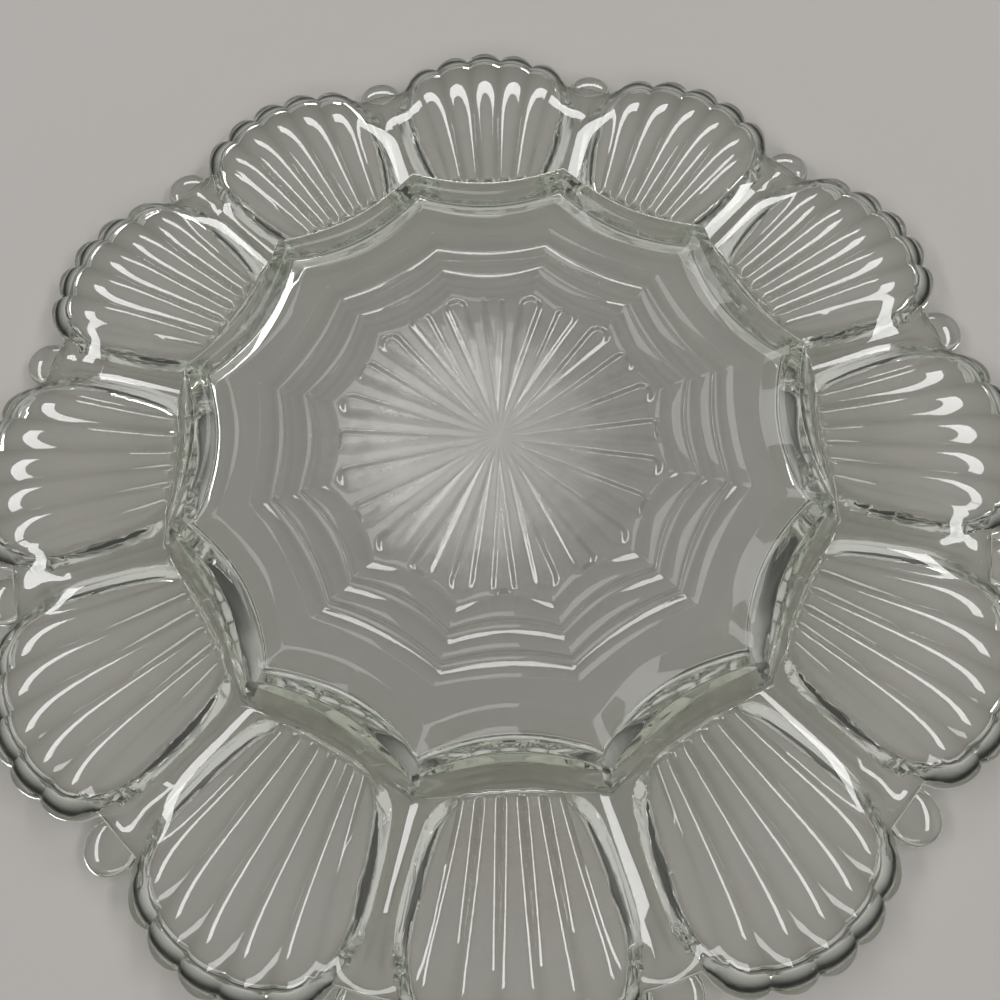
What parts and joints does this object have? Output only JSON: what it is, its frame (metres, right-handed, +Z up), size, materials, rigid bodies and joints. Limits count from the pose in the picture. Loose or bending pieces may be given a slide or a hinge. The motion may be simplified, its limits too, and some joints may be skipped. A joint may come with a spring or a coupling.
{
  "type": "deviled egg platter",
  "caption": "Round pressed glass platter with egg-shaped cups in a scalloped ring about a central well, on a scalloped foot ring.",
  "frame": {"origin": "centre of the foot ring's flat face, on the table", "axes": "+Z up, out of the well; +X through the middle of a cup"},
  "size_m": [0.28, 0.28, 0.022],
  "materials": {
    "pressed_glass": "glossy"
  },
  "bodies": {
    "root": {"well_floor": "pressed_glass", "step_ring_inner": "pressed_glass", "step_ring_middle": "pressed_glass", "step_ring_outer": "pressed_glass", "well_apron": "pressed_glass", "well_wall": "pressed_glass", "foot_ring": "pressed_glass", "egg_cup_01": "pressed_glass", "egg_cup_02": "pressed_glass", "egg_cup_03": "pressed_glass", "egg_cup_04": "pressed_glass", "egg_cup_05": "pressed_glass", "egg_cup_06": "pressed_glass", "egg_cup_07": "pressed_glass", "egg_cup_08": "pressed_glass", "egg_cup_09": "pressed_glass", "egg_cup_10": "pressed_glass", "egg_cup_11": "pressed_glass", "egg_cup_12": "pressed_glass", "divider_bar_01": "pressed_glass", "divider_bar_02": "pressed_glass", "divider_bar_03": "pressed_glass", "divider_bar_04": "pressed_glass", "divider_bar_05": "pressed_glass", "divider_bar_06": "pressed_glass", "divider_bar_07": "pressed_glass", "divider_bar_08": "pressed_glass", "divider_bar_09": "pressed_glass", "divider_bar_10": "pressed_glass", "divider_bar_11": "pressed_glass", "divider_bar_12": "pressed_glass", "rim_knob_01": "pressed_glass", "rim_knob_02": "pressed_glass", "rim_knob_03": "pressed_glass", "rim_knob_04": "pressed_glass", "rim_knob_05": "pressed_glass", "rim_knob_06": "pressed_glass", "rim_knob_07": "pressed_glass", "rim_knob_08": "pressed_glass", "rim_knob_09": "pressed_glass", "rim_knob_10": "pressed_glass", "rim_knob_11": "pressed_glass", "rim_knob_12": "pressed_glass"}
  },
  "joints": []
}
